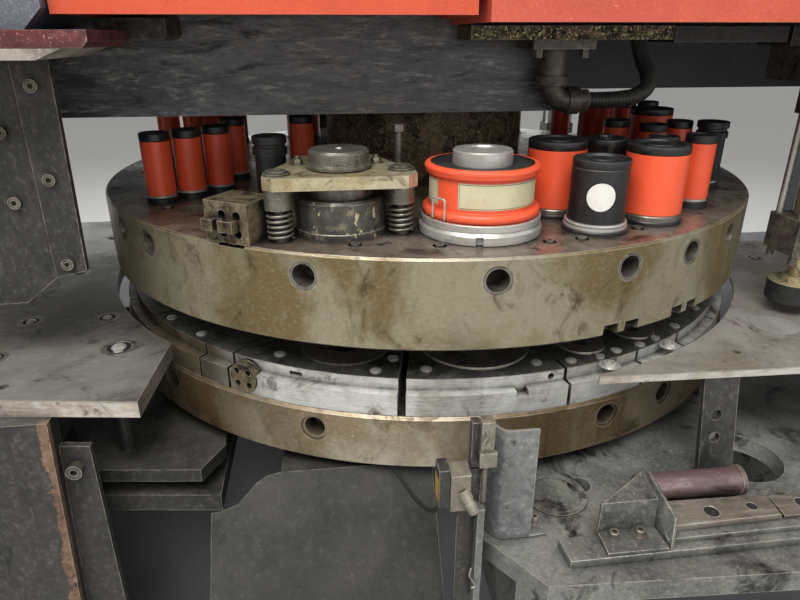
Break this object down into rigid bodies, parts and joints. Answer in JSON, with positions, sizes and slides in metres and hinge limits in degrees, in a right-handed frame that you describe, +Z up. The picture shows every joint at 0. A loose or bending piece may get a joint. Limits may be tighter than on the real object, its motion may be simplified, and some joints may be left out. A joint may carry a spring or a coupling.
{
  "type": "turret punch press",
  "caption": "Numerically controlled turret punch press, seen from the tool side: two toolholder turrets, orange covers, grey bridge frame, tables, chute and deck",
  "frame": {"origin": "on the floor, below the axis of the turrets", "axes": "+Z up, -Y the tool side that the picture shows, +Y the ram side, +X to the right as seen from the tool side"},
  "size_m": [3.42, 1.9017, 2.05],
  "materials": {
    "machine_grey": "matt dark grey paint",
    "cover_orange": "satin red orange paint",
    "cover_grey": "satin grey paint",
    "dark_sheet": "black painted sheet, dusty",
    "table_steel": "worn plain steel",
    "bright_steel": "ground steel",
    "switch_body": "cast and plain",
    "black_rubber": "matt",
    "dark_steel": "blackened",
    "turret_steel": "oily brownish steel",
    "rusty_steel": "rusty",
    "tool_orange": "red orange tool sleeve",
    "spring_steel": "bright wire",
    "die_steel": "worn tool steel"
  },
  "bodies": {
    "frame": {"base_frame": "machine_grey", "side_frames": "machine_grey", "upper_frame": "machine_grey", "turret_bearings": "bright_steel", "cover_left": "cover_orange", "cover_right": "cover_orange", "side_cover": "cover_grey", "trim_plates": "dark_sheet", "left_bracket": "dark_sheet", "frame_screws": "bright_steel", "left_table": "table_steel", "right_table": "table_steel", "ball_transfers": "bright_steel", "table_supports": "dark_sheet", "chute": "dark_sheet", "left_platform": "dark_sheet", "corner_box": "dark_sheet", "deck": "dark_sheet", "deck_guides": "dark_sheet", "sensor_bracket": "dark_sheet", "limit_switch": "switch_body", "sensor_cable": "black_rubber", "conduit_elbow": "dark_steel", "conduit_hose": "black_rubber", "holder_bodies": "machine_grey", "ram_housing": "machine_grey", "pin_housings": "machine_grey", "drive_chains": "dark_steel"},
    "upper_turret": {"upper_turret": "turret_steel", "upper_index_bushes": "turret_steel", "upper_hub": "rusty_steel", "small_guides": "tool_orange", "small_guide_heads": "dark_steel", "medium_guides": "tool_orange", "medium_guide_heads": "dark_steel", "turret_screws": "bright_steel", "indexer_block": "turret_steel", "indexer_posts": "dark_steel", "indexer_springs": "spring_steel"},
    "large_guide": {"large_guide": "tool_orange"},
    "large_head": {"large_guide_head": "bright_steel"},
    "struck_tool": {"struck_tool": "tool_orange"},
    "index_coupling": {"indexer_coupling": "turret_steel"},
    "index_drum": {"indexer_drum": "dark_steel"},
    "index_plate": {"indexer_plate": "turret_steel", "indexer_striker": "bright_steel", "indexer_fittings": "turret_steel"},
    "ram": {"ram": "bright_steel"},
    "upper_pin": {"upper_index_pin": "bright_steel"},
    "lower_pin": {"lower_index_pin": "bright_steel"},
    "lower_turret": {"lower_turret": "turret_steel", "lower_hub": "rusty_steel", "die_holders": "die_steel", "dies": "die_steel", "die_holder_screws": "bright_steel"},
    "lower_index_die": {"lower_index_die": "die_steel"},
    "lower_coupling": {"lower_coupling": "turret_steel"},
    "drive_shaft": {"drive_shaft": "bright_steel"},
    "pad_near": {"holder_pad_near": "black_rubber"},
    "pad_far": {"holder_pad_far": "black_rubber"}
  },
  "joints": [
    {"name": "upper_turret_spin", "type": "hinge", "parent": "frame", "child": "upper_turret", "pos_m": [0, 0, 1.1], "axis": [0, 0, 1], "continuous": true},
    {"name": "lower_turret_spin", "type": "hinge", "parent": "frame", "child": "lower_turret", "pos_m": [0, 0, 0.861], "axis": [0, 0, 1], "continuous": true},
    {"name": "drive_shaft_spin", "type": "hinge", "parent": "frame", "child": "drive_shaft", "pos_m": [-1.34, 0, 0.9], "axis": [0, 0, 1], "continuous": true},
    {"name": "ram_slide", "type": "slide", "parent": "frame", "child": "ram", "axis": [0, 0, -1], "range_m": [0, 0.03]},
    {"name": "struck_tool_slide", "type": "slide", "parent": "upper_turret", "child": "struck_tool", "axis": [0, 0, -1], "range_m": [0, 0.03]},
    {"name": "large_guide_slide", "type": "slide", "parent": "upper_turret", "child": "large_guide", "axis": [0, 0, -1], "range_m": [0, 0.014], "stiffness_N_per_m": 20000, "springref_m": -0.02},
    {"name": "large_head_slide", "type": "slide", "parent": "large_guide", "child": "large_head", "axis": [0, 0, -1], "range_m": [0, 0.016], "stiffness_N_per_m": 30000, "springref_m": -0.01},
    {"name": "index_drum_spin", "type": "hinge", "parent": "upper_turret", "child": "index_drum", "pos_m": [-0.194, -0.488, 1.1], "axis": [0, 0, 1], "continuous": true},
    {"name": "index_coupling_spin", "type": "hinge", "parent": "upper_turret", "child": "index_coupling", "pos_m": [-0.33943, -0.53075, 1.127], "axis": [-0.5388, -0.8425, 0], "continuous": true},
    {"name": "index_plate_slide", "type": "slide", "parent": "upper_turret", "child": "index_plate", "axis": [0, 0, -1], "range_m": [0, 0.015], "stiffness_N_per_m": 12000, "springref_m": -0.015, "deforming": ["indexer_springs"]},
    {"name": "lower_index_die_spin", "type": "hinge", "parent": "lower_turret", "child": "lower_index_die", "pos_m": [-0.194, -0.488, 0.88], "axis": [0, 0, 1], "continuous": true},
    {"name": "lower_coupling_spin", "type": "hinge", "parent": "lower_turret", "child": "lower_coupling", "pos_m": [-0.34864, -0.52474, 0.887], "axis": [-0.5534, -0.8329, 0], "continuous": true},
    {"name": "upper_pin_slide", "type": "slide", "parent": "frame", "child": "upper_pin", "axis": [0.3007, -0.9537, 0], "range_m": [0, 0.04]},
    {"name": "lower_pin_slide", "type": "slide", "parent": "frame", "child": "lower_pin", "axis": [0.3007, -0.9537, 0], "range_m": [0, 0.04]},
    {"name": "pad_near_slide", "type": "slide", "parent": "frame", "child": "pad_near", "axis": [0, 0, -1], "range_m": [0, 0.02]},
    {"name": "pad_far_slide", "type": "slide", "parent": "frame", "child": "pad_far", "axis": [0, 0, -1], "range_m": [0, 0.02]}
  ],
  "couplings": [
    {"joint": "lower_turret_spin", "follows": "upper_turret_spin", "ratio": 1},
    {"joint": "drive_shaft_spin", "follows": "upper_turret_spin", "ratio": 3.1667},
    {"joint": "struck_tool_slide", "follows": "ram_slide", "ratio": 1},
    {"joint": "index_coupling_spin", "follows": "index_drum_spin", "ratio": 12},
    {"joint": "lower_coupling_spin", "follows": "lower_index_die_spin", "ratio": 12},
    {"joint": "lower_pin_slide", "follows": "upper_pin_slide", "ratio": 1}
  ]
}
